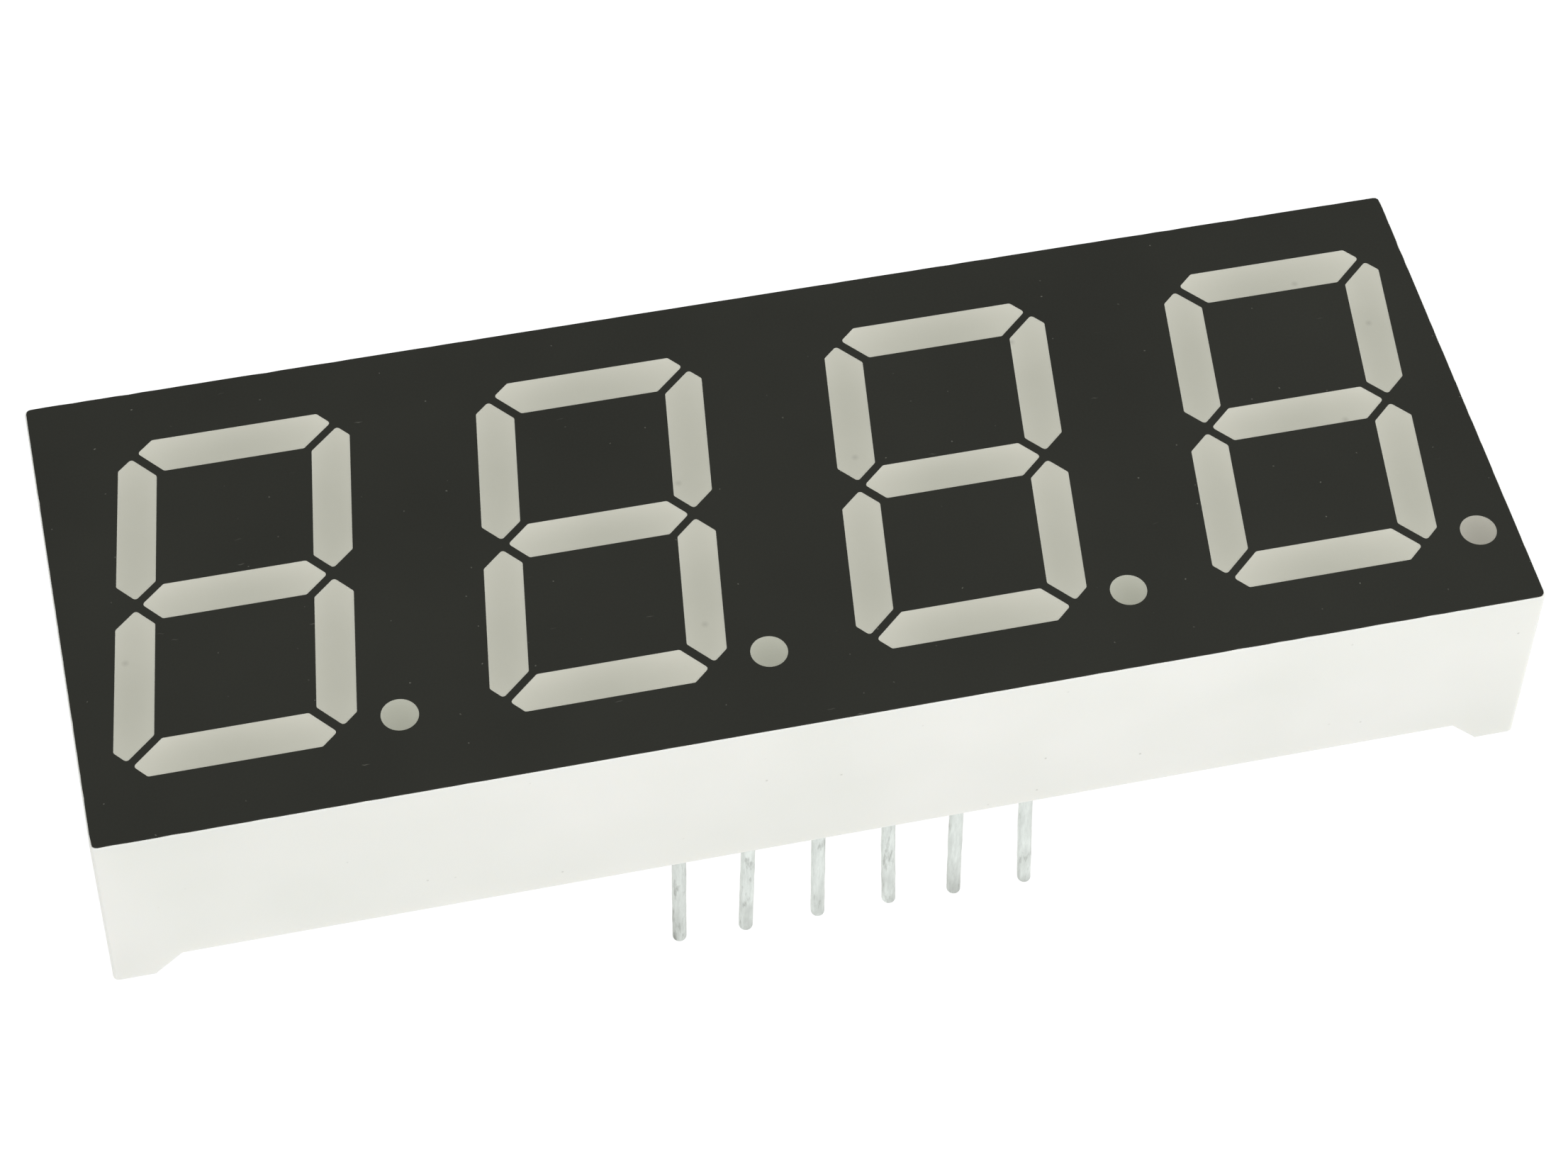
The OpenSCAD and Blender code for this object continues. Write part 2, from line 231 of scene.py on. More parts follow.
# %% Material: white filled polycarbonate, satin from the mould
def white_polycarbonate():
    """Satin white plastic: a soft drift of tone, a few burnt specks and the mould's fine texture."""
    made, tree, shader = start_material("white filled polycarbonate, satin moulded", {
        "IOR": 1.58,
        "Subsurface Weight": 0.25,
        "Subsurface Radius": (1.0, 0.9, 0.75),
        "Subsurface Scale": 0.4 * MM,
    })
    place = add(tree, "TexCoord").outputs["Object"]
    flow = add(tree, "TexNoise", {"Scale": per_mm(7.0), "Detail": 2.0}, {"Vector": place})
    tone = add(tree, "ValToRGB", None, {"Fac": flow.outputs["Fac"]})
    tone.color_ramp.elements[0].color = linear("#E9EAE3")
    tone.color_ramp.elements[0].position = 0.3
    tone.color_ramp.elements[1].color = linear("#F0F0EA")
    tone.color_ramp.elements[1].position = 0.7
    # Specks: grains up to 0.1 mm wide, more of them in some patches than in others
    cells = add(tree, "TexVoronoi", {"Scale": per_mm(0.9)}, {"Vector": place})
    chance = add(tree, "SeparateColor", None, {"Color": cells.outputs["Color"]})
    patches = add(tree, "TexNoise", {"Scale": per_mm(8.0), "Detail": 1.0}, {"Vector": place})
    favour = add(tree, "Math", {"operation": "ADD"}, {0: chance.outputs["Red"], 1: patches.outputs["Fac"]})
    chosen = add(tree, "MapRange", {"From Min": 1.0, "From Max": 1.4}, {"Value": favour.outputs[0]})
    dot = add(tree, "MapRange", {"From Min": 0.02, "From Max": 0.065, "To Min": 0.6, "To Max": 0.0},
              {"Value": cells.outputs["Distance"]})
    speck = add(tree, "Math", {"operation": "MULTIPLY"}, {0: chosen.outputs[0], 1: dot.outputs[0]})
    colour = add(tree, "Mix", {"data_type": "RGBA", SECOND: linear("#AEAEA3")},
                 {0: speck.outputs[0], FIRST: tone.outputs["Color"]})
    tree.links.new(colour.outputs[MIXED], shader.inputs["Base Color"])
    # The mould's spark texture is about 0.03 mm, drawn at 0.12 mm so that it shows
    spark = add(tree, "TexNoise", {"Scale": per_mm(0.12), "Detail": 3.0}, {"Vector": place})
    lay_skin(tree, shader, spark.outputs["Fac"], rough=(0.38, 0.55), strength=0.25, depth=0.008)
    return made


housing_plastic = white_polycarbonate()
print("made", housing_plastic.name)

# %% [markdown]
# ## Black face ink
# The face is screen printed with a matt black ink. Up close it is a warm dark grey with a fine tooth, and
# it holds dust, hairline scuffs and a faint bloom where it was wiped. Dust and scuffs are cells of a
# Voronoi pattern: small round ones for dust, and ones stretched thin for scuffs.

# %% Material: screen-printed matt black ink
# For each kind of mark: cell size in mm, turn in degrees, stretch of the cell, share of the cells that
# show one, reach as a share of the cell, and strength
INK_MARKS = (
    # Grains of dust, about 0.06 mm wide
    (1.5, 0, (1.0, 1.0, 1.0), 0.35, 0.024, 0.34),
    # Lint and short scuffs, about 0.3 mm long, in two directions
    (1.0, -14, (0.5, 3.0, 1.0), 0.012, 0.08, 0.2),
    (1.0, 38, (0.5, 3.0, 1.0), 0.012, 0.08, 0.2),
)


def printed_ink():
    """Matt black ink: a cloudy bloom, with each kind of mark laid over it in turn."""
    made, tree, shader = start_material("screen printed black ink, matt", {
        "IOR": 1.5,
        "Specular IOR Level": 0.3,
    })
    place = add(tree, "TexCoord").outputs["Object"]
    bloom = add(tree, "TexNoise", {"Scale": per_mm(9.0), "Detail": 3.0, "Roughness": 0.6}, {"Vector": place})
    tone = add(tree, "ValToRGB", None, {"Fac": bloom.outputs["Fac"]})
    tone.color_ramp.elements[0].color = linear("#1C1D16")
    tone.color_ramp.elements[0].position = 0.3
    tone.color_ramp.elements[1].color = linear("#22231C")
    tone.color_ramp.elements[1].position = 0.75
    colour = tone.outputs["Color"]
    # The marks wander off their cells by a few hundredths of a millimetre, so that no two look alike
    wander = add(tree, "TexNoise", {"Scale": per_mm(0.2), "Detail": 1.0}, {"Vector": place})
    stray = add(tree, "VectorMath", {"operation": "MULTIPLY_ADD", 1: (0.12 * MM,) * 3},
                {0: wander.outputs["Color"], 2: place})
    for spacing, turn, stretch, share, reach, strength in INK_MARKS:
        turned = add(tree, "Mapping", {"Rotation": (0, 0, math.radians(turn)), "Scale": stretch},
                     {"Vector": stray.outputs["Vector"]})
        cells = add(tree, "TexVoronoi", {"voronoi_dimensions": "2D", "Scale": per_mm(spacing)},
                    {"Vector": turned.outputs["Vector"]})
        chance = add(tree, "SeparateColor", None, {"Color": cells.outputs["Color"]})
        chosen = add(tree, "Math", {"operation": "GREATER_THAN", 1: 1 - share}, {0: chance.outputs["Red"]})
        mark = add(tree, "MapRange", {"From Min": 0.0, "From Max": reach, "To Min": strength, "To Max": 0.0},
                   {"Value": cells.outputs["Distance"]})
        shown = add(tree, "Math", {"operation": "MULTIPLY"}, {0: chosen.outputs[0], 1: mark.outputs[0]})
        faded = add(tree, "Math", {"operation": "MULTIPLY"},
                    {0: shown.outputs[0], 1: chance.outputs["Green"]})
        marked = add(tree, "Mix", {"data_type": "RGBA", SECOND: linear("#B4B4A8")},
                     {0: faded.outputs[0], FIRST: colour})
        colour = marked.outputs[MIXED]
    tree.links.new(colour, shader.inputs["Base Color"])
    # The tooth of the ink is about 0.04 mm, drawn at 0.1 mm so that it shows
    tooth = add(tree, "TexNoise", {"Scale": per_mm(0.1), "Detail": 4.0}, {"Vector": place})
    lay_skin(tree, shader, tooth.outputs["Fac"], rough=(0.55, 0.75), strength=0.35, depth=0.012)
    return made


face_ink = printed_ink()
print("made", face_ink.name, "with", len(INK_MARKS), "kinds of mark")

# %% [markdown]
# ## Milky resin
# Each well is filled with an epoxy that holds a white diffusing powder. Near the walls the white funnel
# shines through and the resin looks light. Over the deep middle, where the die sits, it looks greyer,
# with a hint of green. That light and shade is painted into the resin's colour: painted light near the
# walls, painted shade over the middle. It follows each well, so it is driven by a map with one axis along
# the digit's level bars and one up the digit, which is laid on the pieces further down. Level bars, upright
# bars and points differ in their two painted tones, in how fast the painted shade turns along each axis
# and in where it is deepest.

# %% Material: diffusing epoxy, cast flush
WELL_MAP = "along_and_across_the_well"


def milky_epoxy(name, deep, shallow, sideways, upwards, foot):
    """Resin with painted light and shade: it turns from its deep to its shallow tone with the square of the
    distance from its deepest place: so much sideways, so much upwards, from a line that lies below the well's
    middle."""
    made, tree, shader = start_material(name, {
        "IOR": 1.54,
        "Specular IOR Level": 0.4,
        "Subsurface Weight": 0.15,
        "Subsurface Radius": (1.0, 0.95, 0.8),
        "Subsurface Scale": 0.3 * MM,
    })
    well = add(tree, "UVMap", {"uv_map": WELL_MAP}).outputs["UV"]
    # The painted shade: how far a place lies from the well's deepest place, across and up the well
    axes = add(tree, "SeparateXYZ", None, {"Vector": well})
    aside = add(tree, "Math", {"operation": "POWER", 1: 2.0}, {0: axes.outputs["X"]})
    ends = add(tree, "Math", {"operation": "MULTIPLY", 1: sideways}, {0: aside.outputs[0]})
    rise = add(tree, "Math", {"operation": "ADD", 1: foot}, {0: axes.outputs["Y"]})
    above = add(tree, "Math", {"operation": "POWER", 1: 2.0}, {0: rise.outputs[0]})
    nearness = add(tree, "Math", {"operation": "MULTIPLY_ADD", 1: upwards},
                   {0: above.outputs[0], 2: ends.outputs[0]})
    place = add(tree, "TexCoord").outputs["Object"]
    drift = add(tree, "TexNoise", {"Scale": per_mm(2.5), "Detail": 2.0}, {"Vector": place})
    level = add(tree, "MapRange", {"To Min": -0.16, "To Max": 0.16}, {"Value": drift.outputs["Fac"]})
    shade = add(tree, "Math", {"operation": "ADD", "use_clamp": True},
                {0: nearness.outputs[0], 1: level.outputs[0]})
    # The deep tone is painted shade and the shallow tone is painted light from the funnel
    tone = add(tree, "Mix", {"data_type": "RGBA", FIRST: linear(deep), SECOND: linear(shallow)},
               {0: shade.outputs[0]})
    # Clumps of powder: soft spots 0.3 mm wide, in one cell out of five
    clumps = add(tree, "TexVoronoi", {"voronoi_dimensions": "2D", "Scale": per_mm(2.2)}, {"Vector": place})
    chance = add(tree, "SeparateColor", None, {"Color": clumps.outputs["Color"]})
    chosen = add(tree, "Math", {"operation": "GREATER_THAN", 1: 0.8}, {0: chance.outputs["Red"]})
    spot = add(tree, "MapRange", {"From Min": 0.0, "From Max": 0.075, "To Min": 0.45, "To Max": 0.0},
               {"Value": clumps.outputs["Distance"]})
    shown = add(tree, "Math", {"operation": "MULTIPLY"}, {0: chosen.outputs[0], 1: spot.outputs[0]})
    colour = add(tree, "Mix", {"data_type": "RGBA", SECOND: linear("#8F8E84")},
                 {0: shown.outputs[0], FIRST: tone.outputs[MIXED]})
    tree.links.new(colour.outputs[MIXED], shader.inputs["Base Color"])
    # The powder's grain is about 0.01 mm, drawn at 0.08 mm so that it shows
    grain = add(tree, "TexNoise", {"Scale": per_mm(0.08), "Detail": 3.0}, {"Vector": place})
    lay_skin(tree, shader, grain.outputs["Fac"], rough=(0.42, 0.56), strength=0.2, depth=0.006)
    return made


# %% Mix the four resins
POINT_SHADE = {"sideways": 0.24, "upwards": 0.12, "foot": 1.7}
level_resin = milky_epoxy("milky diffusing epoxy, level bars", "#B4B4A7", "#CBCABD",
                          sideways=0.62, upwards=0.185, foot=0.9)
upright_resin = milky_epoxy("milky diffusing epoxy, upright bars", "#B3B3A6", "#CAC9BC",
                            sideways=0.23, upwards=0.4, foot=0.22)
point_resin = milky_epoxy("milky diffusing epoxy, points", "#9C9D8F", "#B6B7A9", **POINT_SHADE)
# The last point's resin is a little darker and warmer than the other points
last_point_resin = milky_epoxy("milky diffusing epoxy, last point", "#97958A", "#B1AFA3", **POINT_SHADE)
for resin in (level_resin, upright_resin, point_resin, last_point_resin):
    print("made", resin.name)

# %% [markdown]
# ## Tinned wire
# The pins are copper wire dipped in tin, a pale metal with a cool cast. The wire was drawn, so its marks
# run lengthways: faint streaks, scratches that gather in smudges, and soft grey smears that grow darker
# towards the cut end.
# Round dots would look printed, so every mark is a noise that is stretched along the wire. The first pin
# of each row, which is handled the most, is a little duller and more scratched than the others.

# %% Material: hot-tinned wire, drawn
# The extra wear is full at the first pin of each row and gone at the second: their places along X
WORN = -6.5 * MM
UNWORN = -4.0 * MM
DARK_END_HEIGHT = 2.5 * MM


def tinned_wire():
    """Drawn tin: streaks along the wire, grey smears that darken it towards its cut end, and scratches over
    both.
    """
    made, tree, shader = start_material("hot tinned copper wire, drawn", {"Metallic": 1.0})
    place = add(tree, "TexCoord").outputs["Object"]
    axes = add(tree, "SeparateXYZ", None, {"Vector": place})
    # Streaks: mottled, about 0.12 mm across the wire and 0.8 mm along it
    drawn = add(tree, "Mapping", {"Scale": (1.0, 1.0, 0.15)}, {"Vector": place})
    streaks = add(tree, "TexNoise", {"Scale": per_mm(0.12), "Detail": 4.0, "Roughness": 0.6},
                  {"Vector": drawn.outputs["Vector"]})
    tone = add(tree, "ValToRGB", None, {"Fac": streaks.outputs["Fac"]})
    tone.color_ramp.elements[0].color = linear("#D8DDD9")
    tone.color_ramp.elements[0].position = 0.35
    tone.color_ramp.elements[1].color = linear("#EAEFEB")
    tone.color_ramp.elements[1].position = 0.65
    # Darker towards the cut end: soft grey smears, about 0.6 mm across the wire and 2 mm along it
    near_end = add(tree, "MapRange", {"From Min": cad_box[0].z, "From Max": cad_box[0].z + DARK_END_HEIGHT,
                                      "To Min": 0.6, "To Max": 0.1}, {"Value": axes.outputs["Z"]})
    smeared = add(tree, "Mapping", {"Scale": (1.0, 1.0, 0.3)}, {"Vector": place})
    smears = add(tree, "TexNoise", {"Scale": per_mm(0.6), "Detail": 3.0},
                 {"Vector": smeared.outputs["Vector"]})
    smear = add(tree, "MapRange", {"From Min": 0.3, "From Max": 0.65}, {"Value": smears.outputs["Fac"]})
    handled = add(tree, "MapRange", {"From Min": WORN, "From Max": UNWORN, "To Min": 0.12, "To Max": 0.0},
                  {"Value": axes.outputs["X"]})
    dull = add(tree, "Math", {"operation": "MULTIPLY_ADD"},
               {0: near_end.outputs[0], 1: smear.outputs[0], 2: handled.outputs[0]})
    darkened_tone = add(tree, "Mix", {"data_type": "RGBA", SECOND: linear("#8F918A")},
                    {0: dull.outputs[0], FIRST: tone.outputs["Color"]})
    # Scratches: thin dark marks about 0.05 mm wide, gathered in smudges 0.5 mm wide and 2 mm long
    scraped = add(tree, "Mapping", {"Scale": (1.0, 1.0, 0.2)}, {"Vector": place})
    scratches = add(tree, "TexNoise", {"Scale": per_mm(0.16), "Detail": 3.0, "Roughness": 0.6},
                    {"Vector": scraped.outputs["Vector"]})
    smudged = add(tree, "Mapping", {"Scale": (1.0, 1.0, 0.25)}, {"Vector": place})
    smudges = add(tree, "TexNoise", {"Scale": per_mm(0.5), "Detail": 2.0},
                  {"Vector": smudged.outputs["Vector"]})
    favour = add(tree, "Math", {"operation": "ADD"},
                 {0: scratches.outputs["Fac"], 1: smudges.outputs["Fac"]})
    wear = add(tree, "Math", {"operation": "ADD"}, {0: favour.outputs[0], 1: handled.outputs[0]})
    dark = add(tree, "MapRange", {"From Min": 1.12, "From Max": 1.4, "To Max": 0.75},
               {"Value": wear.outputs[0]})
    colour = add(tree, "Mix", {"data_type": "RGBA", SECOND: linear("#83867F")},
                 {0: dark.outputs[0], FIRST: darkened_tone.outputs[MIXED]})
    tree.links.new(colour.outputs[MIXED], shader.inputs["Base Color"])
    lay_skin(tree, shader, streaks.outputs["Fac"], rough=(0.42, 0.6), strength=0.2, depth=0.008)
    return made


wire_tin = tinned_wire()
print("made", wire_tin.name)

# %% [markdown]
# ## Potting resin
# Behind the board the open back is filled with casting epoxy. It sets glossy, with slow waves and a few
# bubbles that rose and stuck under the skin. It is milky, so that the board shows through as a darker
# field, and a paler band runs along the walls, where the resin fills the gap round the board's edge.

# %% Material: casting epoxy, set in the open back
# The pale band fades between these distances from the walls
BAND_FULL = 0.1 * MM
BAND_GONE = 0.7 * MM


def casting_epoxy():
    """Glossy potting: a cloudy field, a pale band along the walls, bubbles and slow waves."""
    made, tree, shader = start_material("casting epoxy, set glossy", {
        "IOR": 1.54,
        "Subsurface Weight": 0.2,
        "Subsurface Radius": (1.0, 0.9, 0.7),
        "Subsurface Scale": 0.5 * MM,
        "Coat Weight": 0.25,
        "Coat Roughness": 0.1,
    })
    place = add(tree, "TexCoord").outputs["Object"]
    cloud = add(tree, "TexNoise", {"Scale": per_mm(6.0), "Detail": 3.0, "Distortion": 0.3}, {"Vector": place})
    field = add(tree, "ValToRGB", None, {"Fac": cloud.outputs["Fac"]})
    field.color_ramp.elements[0].color = linear("#B5B29C")
    field.color_ramp.elements[0].position = 0.25
    field.color_ramp.elements[1].color = linear("#C6C3B0")
    field.color_ramp.elements[1].position = 0.75
    # The band: how far a place lies inside the nearest wall
    near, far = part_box("back_potting")
    away = add(tree, "VectorMath", {"operation": "SUBTRACT", 1: (near + far) / 2}, {0: place})
    apart = add(tree, "VectorMath", {"operation": "ABSOLUTE"}, {0: away.outputs["Vector"]})
    inside = add(tree, "VectorMath", {"operation": "SUBTRACT", 0: (far - near) / 2},
                 {1: apart.outputs["Vector"]})
    depths = add(tree, "SeparateXYZ", None, {"Vector": inside.outputs["Vector"]})
    depth = add(tree, "Math", {"operation": "MINIMUM"}, {0: depths.outputs["X"], 1: depths.outputs["Y"]})
    band = add(tree, "MapRange", {"From Min": BAND_FULL, "From Max": BAND_GONE, "To Min": 1.0, "To Max": 0.0,
                                  "interpolation_type": "SMOOTHSTEP"}, {"Value": depth.outputs[0]})
    tone = add(tree, "Mix", {"data_type": "RGBA", SECOND: linear("#DAD8CB")},
               {0: band.outputs[0], FIRST: field.outputs["Color"]})
    # Bubbles: 0.05 to 0.2 mm wide, in one cell out of five
    bubbles = add(tree, "TexVoronoi", {"voronoi_dimensions": "2D", "Scale": per_mm(1.6)}, {"Vector": place})
    chance = add(tree, "SeparateColor", None, {"Color": bubbles.outputs["Color"]})
    chosen = add(tree, "Math", {"operation": "GREATER_THAN", 1: 0.8}, {0: chance.outputs["Red"]})
    shrink = add(tree, "MapRange", {"To Min": 1.0, "To Max": 4.0}, {"Value": chance.outputs["Green"]})
    reach = add(tree, "Math", {"operation": "MULTIPLY"},
                {0: bubbles.outputs["Distance"], 1: shrink.outputs[0]})
    spot = add(tree, "MapRange", {"From Min": 0.02, "From Max": 0.07, "To Min": 0.3, "To Max": 0.0},
               {"Value": reach.outputs[0]})
    bubble = add(tree, "Math", {"operation": "MULTIPLY"}, {0: chosen.outputs[0], 1: spot.outputs[0]})
    colour = add(tree, "Mix", {"data_type": "RGBA", SECOND: linear("#EFEDE2")},
                 {0: bubble.outputs[0], FIRST: tone.outputs[MIXED]})
    tree.links.new(colour.outputs[MIXED], shader.inputs["Base Color"])
    # Here gloss and relief have patterns of their own: the clouds, and waves 3 mm apart with the bubbles
    gloss = add(tree, "MapRange", {"To Min": 0.18, "To Max": 0.34}, {"Value": cloud.outputs["Fac"]})
    tree.links.new(gloss.outputs[0], shader.inputs["Roughness"])
    wave = add(tree, "TexNoise", {"Scale": per_mm(3.0), "Detail": 1.0}, {"Vector": place})
    height = add(tree, "Math", {"operation": "ADD"}, {0: wave.outputs["Fac"], 1: bubble.outputs[0]})
    relief = add(tree, "Bump", {"Strength": 0.5, "Distance": 0.06 * MM}, {"Height": height.outputs[0]})
    tree.links.new(relief.outputs["Normal"], shader.inputs["Normal"])
    return made


potting_resin = casting_epoxy()
print("made", potting_resin.name)

# %% [markdown]
# ## What is sealed inside
# Board, copper, solder, dies and bond wires can't be seen in the finished part, but they show as soon as
# someone takes it apart. Their solids keep their shape, and each gets a finish that is true to what it
# is. They differ in few values, so one function makes them: two tones of a fine pattern, and a roughness
# that follows it.

# %% Materials: laminate, copper, solder, crystal and gold
def inner_finish(name, dark, light, grain, stretch, rough, metal):
    """A finish with two tones of a grain, in mm, that is stretched along X, and its range of roughness."""
    made, tree, shader = start_material(name, {"Metallic": metal})
    place = add(tree, "TexCoord").outputs["Object"]
    drawn = add(tree, "Mapping", {"Scale": (1 / stretch, 1.0, 1.0)}, {"Vector": place})
    pattern = add(tree, "TexNoise", {"Scale": per_mm(grain), "Detail": 3.0},
                  {"Vector": drawn.outputs["Vector"]})
    colour = add(tree, "Mix", {"data_type": "RGBA", FIRST: linear(dark), SECOND: linear(light)},
                 {0: pattern.outputs["Fac"]})
    tree.links.new(colour.outputs[MIXED], shader.inputs["Base Color"])
    lay_skin(tree, shader, pattern.outputs["Fac"], rough, strength=0.3, depth=0.01)
    return made


INNER = {
    # Glass cloth shows through the resin as a weave, here as short threads
    "board_laminate": inner_finish("glass epoxy laminate", "#B7A465", "#D3C48A",
                                   grain=0.4, stretch=3.0, rough=(0.45, 0.6), metal=0.0),
    # Etched foil is dull, with the rolling marks along it
    "copper": inner_finish("etched copper foil", "#A9683C", "#DB9A6B",
                           grain=0.05, stretch=6.0, rough=(0.3, 0.5), metal=1.0),
    # Solder sets bright, with a frosted bloom
    "solder": inner_finish("soft solder, set bright", "#9FA2A3", "#D5D8D9",
                           grain=0.1, stretch=1.0, rough=(0.2, 0.45), metal=1.0),
    # A diced crystal is dark and glassy, and a little rough where it was sawn
    "led_crystal": inner_finish("diced light-emitting crystal", "#7A3A26", "#C0653F",
                                grain=0.02, stretch=1.0, rough=(0.15, 0.3), metal=0.0),
    # Bond wire is drawn gold
    "bond_wire": inner_finish("drawn gold wire", "#D9A441", "#F3CF7A",
                              grain=0.02, stretch=4.0, rough=(0.15, 0.3), metal=1.0),
}
for name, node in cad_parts.items():
    slot = node.material_slots[0].material.name.split(".")[0]
    if slot in INNER:
        node.material_slots[0].material = INNER[slot]
        print(name, "is", INNER[slot].name)

# %% [markdown]
# ## Working on one piece at a time
# An operator acts on all that is selected, so a helper first deselects everything and makes one object
# active. In edit mode another one selects faces or edges by a test on their place or normal, as a click
# would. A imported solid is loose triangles: to reshape it, its mesh is copied, joined up and cleared of
# the edges that lie in flat faces.

# %% Helpers for modelling
# Points closer than this are one point, and faces that meet at less than this angle are one face
WELD = 0.0005 * MM
FLAT = math.radians(0.3)


def only(piece):
    """Makes a piece the active object and the only one that is selected."""
    bpy.ops.object.select_all(action="DESELECT")
    piece.select_set(True)
    bpy.context.view_layer.objects.active = piece


def pick(piece, kind, test):
    """In edit mode, selects the faces or edges that pass the test, and says how many."""
    bpy.ops.mesh.select_mode(type={"faces": "FACE", "edges": "EDGE"}[kind])
    bpy.ops.mesh.select_all(action="DESELECT")
    shape = bmesh.from_edit_mesh(piece.data)
    chosen = [part for part in getattr(shape, kind) if test(part)]
    for part in chosen:
        part.select_set(True)
    bmesh.update_edit_mesh(piece.data)
    return len(chosen)


def merged_copy(node, name):
    """A new object with a solid's mesh, welded into one skin with clean flat faces."""
    piece = bpy.data.objects.new(name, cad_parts[node].data.copy())
    bpy.context.collection.objects.link(piece)
    only(piece)
    bpy.ops.object.mode_set(mode="EDIT")
    bpy.ops.mesh.select_all(action="SELECT")
    bpy.ops.mesh.remove_doubles(threshold=WELD)
    bpy.ops.mesh.dissolve_limited(angle_limit=FLAT)
    bpy.ops.object.mode_set(mode="OBJECT")
    return piece


def dress(piece, finish, slot, *nodes):
    """Gives a finished piece its material and its body, and hides the solids that it stands for; the slot is
    not used.
    """
    piece.data.materials.clear()
    piece.data.materials.append(finish)
    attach(piece, "root")
    if nodes:
        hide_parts(*nodes)


print("points closer than", WELD / MM, "mm are welded")

# %% [markdown]
# ## Reflector housing
# One moulding: four walls, a foot at each corner and 32 wells through its face. The solid has the right
# form, but its edges are dead sharp, and a real moulding has small radii that catch a line of light. The
# rim of the face and the edges of the feet and of the lower walls are bevelled on a copy. The wells,
# which the resin hides, stay as they are.

# %% Soften the moulded edges
FACE_EDGE = 0.05 * MM
FOOT_EDGE = 0.015 * MM
SHARP = math.radians(25)
# The lower edges lie within this height, and the rim within this width
FOOT_ZONE = 1.6 * MM
RIM_ZONE = 0.3 * MM
housing_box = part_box("reflector_housing")


def depth_inside(point, box):
    """How far a point lies inside the nearer end of a box, along X and along Y."""
    low, high = box
    away = point - (low + high) / 2
    half = (high - low) / 2
    return half.x - abs(away.x), half.y - abs(away.y)


def sharp(edge):
    """Whether two faces meet at an edge at a clear angle."""
    return len(edge.link_faces) == 2 and edge.calc_face_angle() > SHARP


def low_edge(edge):
    """Sharp edges of the feet and of the lower end of the walls."""
    return sharp(edge) and max(vert.co.z for vert in edge.verts) < housing_box[0].z + FOOT_ZONE


def rim_edge(edge):
    """Sharp edges round the outside of the face."""
    middle = (edge.verts[0].co + edge.verts[1].co) / 2
    on_face = middle.z > housing_box[1].z - FACE_EDGE
    return sharp(edge) and on_face and min(depth_inside(middle, housing_box)) < RIM_ZONE


housing = merged_copy("reflector_housing", "moulded_housing")
bpy.ops.object.mode_set(mode="EDIT")
edges = 0
for test, radius in ((low_edge, FOOT_EDGE), (rim_edge, FACE_EDGE)):
    edges += pick(housing, "edges", test)
    bpy.ops.mesh.bevel(offset=radius, segments=2, profile=0.5, affect="EDGES", clamp_overlap=True)
bpy.ops.object.mode_set(mode="OBJECT")
bpy.ops.object.shade_smooth_by_angle(angle=SHARP)
dress(housing, housing_plastic, "housing_plastic", "reflector_housing")
print("bevelled", edges, "edges; the housing has", len(housing.data.polygons), "faces")

# %% [markdown]
# ## Printed face
# The ink is a film a twentieth of a millimetre thick, open over every bar and point. A printed edge is
# never quite straight: it creeps in and out with the mesh of the screen. So the long outer edges are cut
# into short lengths and pushed in a little, each by its own amount.

# %% Roughen the edge of the ink
EDGE_CUTS = 150
LONG_EDGE = 1 * MM
CREEP = 0.03 * MM
CREEP_LENGTH = 0.5 * MM
ink_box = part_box("face_print")
ink_middle = (ink_box[0] + ink_box[1]) / 2


def along_outline(edge):
    """Whether an edge of the film follows one of its four straight sides."""
    ends = [depth_inside(vert.co, ink_box) for vert in edge.verts]
    length = (edge.verts[0].co - edge.verts[1].co).length
    return length > LONG_EDGE and any(max(end[k] for end in ends) < WELD for k in (0, 1))


ink = merged_copy("face_print", "printed_face")
bpy.ops.object.mode_set(mode="EDIT")
sides = pick(ink, "edges", along_outline)
bpy.ops.mesh.subdivide(number_cuts=EDGE_CUTS)
bpy.ops.object.mode_set(mode="OBJECT")
for vert in ink.data.vertices:
    inside_x, inside_y = depth_inside(vert.co, ink_box)
    if min(inside_x, inside_y) > WELD:
        continue
    creep = CREEP * max(0.0, noise.noise(Vector((vert.co.x, vert.co.y, 0)) / CREEP_LENGTH))
    if inside_x < inside_y:
        vert.co.x += math.copysign(creep, ink_middle.x - vert.co.x)
    else:
        vert.co.y += math.copysign(creep, ink_middle.y - vert.co.y)
dress(ink, face_ink, "face_ink", "face_print")
print("roughened", sides, "edges; the film has", len(ink.data.vertices), "vertices")

# %% [markdown]
# ## Resin in the wells
# The resin is cast from behind against a film, so its face is almost flush with the ink, drawn in a hair
# by shrinkage. On a copy of each solid the face is inset twice: the first ring slopes down, the second
# keeps the middle flat. The painted light and shade of the resin follows the well, so a map is laid over
# it: one axis along the digit's level bars, the other up the digit, from -1 to 1 between the well's
# sides. The slant is taken out of the bars first.

# %% Sink the faces
SINK = 0.008 * MM
SLOPE = 0.06 * MM
MARGIN = 0.02 * MM
# A face looks up or down when its normal reaches this far along Z
FACING = 0.99
face_z = cad_box[1].z


def on_top(face):
    """Whether a face of the resin lies flush with the face of the part."""
    return face.normal.z > FACING and face.calc_center_median().z > face_z - WELD


